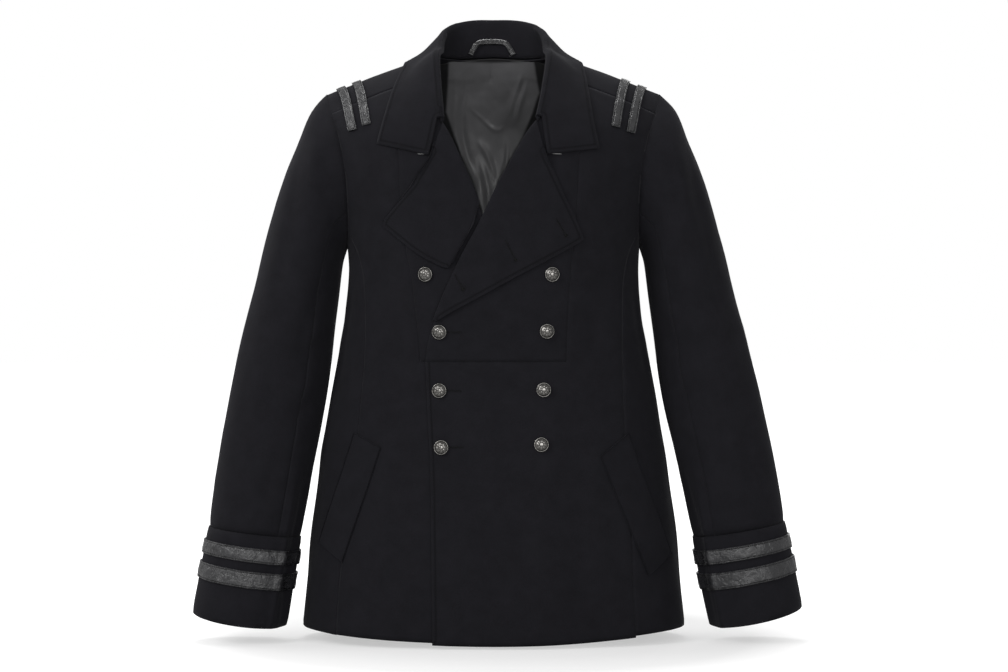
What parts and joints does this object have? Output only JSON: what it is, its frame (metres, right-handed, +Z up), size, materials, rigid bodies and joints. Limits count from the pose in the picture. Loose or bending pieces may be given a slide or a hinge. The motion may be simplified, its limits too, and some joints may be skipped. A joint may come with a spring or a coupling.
{
  "type": "pea coat",
  "caption": "Dark wool double-breasted pea coat, buttoned, with leather shoulder and cuff strips and domed silver buttons",
  "frame": {"origin": "between the shoulders, in the coat's middle plane, 38 mm below the crest of the shoulder line at the neck", "axes": "+X towards the wearer's left, +Y towards the coat's back, +Z up, towards the collar"},
  "size_m": [0.7509, 0.2648, 0.7762],
  "materials": {
    "wool": "dark melton wool with a short, soft nap",
    "lining": "grey satin, softly shiny",
    "leather": "creased grey leather, half-matte",
    "button_metal": "antique silver, darker in the hollows"
  },
  "bodies": {
    "root": {"back": "wool", "collar": "wool", "lining_back": "lining", "hanger_loop": "leather", "side_left": "wool", "side_right": "wool", "front_left": "wool", "front_right": "wool", "chest_left": "wool", "chest_right": "wool", "lapel_left": "wool", "lapel_right": "wool", "sleeve_top_left": "wool", "sleeve_top_right": "wool", "sleeve_under_left": "wool", "sleeve_under_right": "wool", "cuff_left": "wool", "cuff_right": "wool", "cuff_stripe_upper_left": "leather", "cuff_stripe_lower_left": "leather", "cuff_stripe_upper_right": "leather", "cuff_stripe_lower_right": "leather", "pocket_welt_left": "wool", "pocket_welt_right": "wool", "shoulder_strap_inner_left": "leather", "shoulder_strap_outer_left": "leather", "shoulder_strap_inner_right": "leather", "shoulder_strap_outer_right": "leather", "button_right_1": "button_metal", "button_right_2": "button_metal", "button_right_3": "button_metal", "button_right_4": "button_metal", "button_left_1": "button_metal", "button_left_2": "button_metal", "button_left_3": "button_metal", "button_left_4": "button_metal"}
  },
  "joints": []
}
